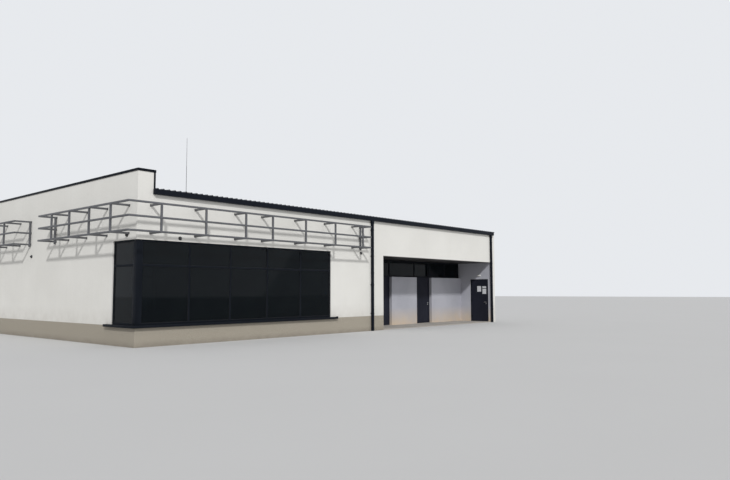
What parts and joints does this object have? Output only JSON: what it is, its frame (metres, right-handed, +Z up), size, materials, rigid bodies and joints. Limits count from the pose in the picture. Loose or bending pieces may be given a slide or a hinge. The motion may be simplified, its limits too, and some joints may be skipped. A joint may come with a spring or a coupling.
{
  "type": "retail pavilion",
  "caption": "Single-storey retail pavilion in white render with dark corner shop windows, steel sign frames standing off the walls, low roof with gutters and a recessed porch.",
  "frame": {"origin": "middle of the plan (gable wall face to party wall face, front wall face to rear wall face) at ground level", "axes": "+X along the long front, towards the porch; +Y into the depth, away from the front; +Z up"},
  "size_m": [21.53, 14.36, 6.6941],
  "materials": {
    "white_render": "fine scratched render",
    "grey_render": "fine scratched render",
    "plinth_render": "mosaic plaster",
    "concrete": "floated concrete",
    "dark_metal": "powder coated, anthracite",
    "roof_sheet": "coated profiled sheet",
    "galvanised_steel": "hot-dip galvanised",
    "steel": "brushed",
    "glass": "dark tinted",
    "white_plastic": "satin",
    "dark_plastic": "gloss"
  },
  "bodies": {
    "building": {"clerestory_frame": "dark_metal", "clerestory_glass": "glass", "door_frame_hinges": "dark_metal", "downpipes": "dark_metal", "eave_fascias": "dark_metal", "entrance_door_frame": "dark_metal", "floor_slab": "concrete", "front_plinth": "plinth_render", "front_roof": "roof_sheet", "front_sign_arms": "galvanised_steel", "front_sign_frame": "galvanised_steel", "front_wall": "white_render", "front_window_frame": "dark_metal", "gable_coping": "dark_metal", "gable_plinth": "plinth_render", "gable_wall": "white_render", "gutters": "dark_metal", "lightning_rod": "steel", "parapet_flashing": "dark_metal", "party_wall": "white_render", "party_wall_lintel": "white_render", "party_wall_pier": "white_render", "porch_beam": "white_render", "porch_cheek_wall": "white_render", "porch_floor": "concrete", "porch_infill_panel": "dark_metal", "porch_lamp": "white_plastic", "porch_panels": "grey_render", "porch_soffit": "dark_metal", "rear_plinth": "plinth_render", "rear_roof": "roof_sheet", "rear_sign_arms": "galvanised_steel", "rear_sign_frame": "galvanised_steel", "rear_wall": "white_render", "rear_window_frame": "dark_metal", "ridge_cap": "roof_sheet", "side_door_frame": "dark_metal", "side_sign_arms": "galvanised_steel", "side_sign_frames": "galvanised_steel", "wall_lamps": "dark_plastic", "window_glass": "glass", "window_returns": "dark_metal", "window_sills": "dark_metal"},
    "entrance_leaf": {"entrance_door": "dark_metal", "entrance_door_handles": "steel", "entrance_door_hinges": "dark_metal"},
    "side_leaf": {"side_door": "dark_metal", "side_door_handle": "steel", "side_door_hinges": "dark_metal"}
  },
  "joints": [
    {"name": "entrance_door_hinge", "type": "hinge", "parent": "building", "child": "entrance_leaf", "pos_m": [6.054, -4.521, 1.15], "axis": [0, 0, -1], "range_deg": [0, 90]},
    {"name": "side_door_hinge", "type": "hinge", "parent": "building", "child": "side_leaf", "pos_m": [10.059, -5.334, 1.12], "axis": [0, 0, -1], "range_deg": [0, 90]}
  ]
}
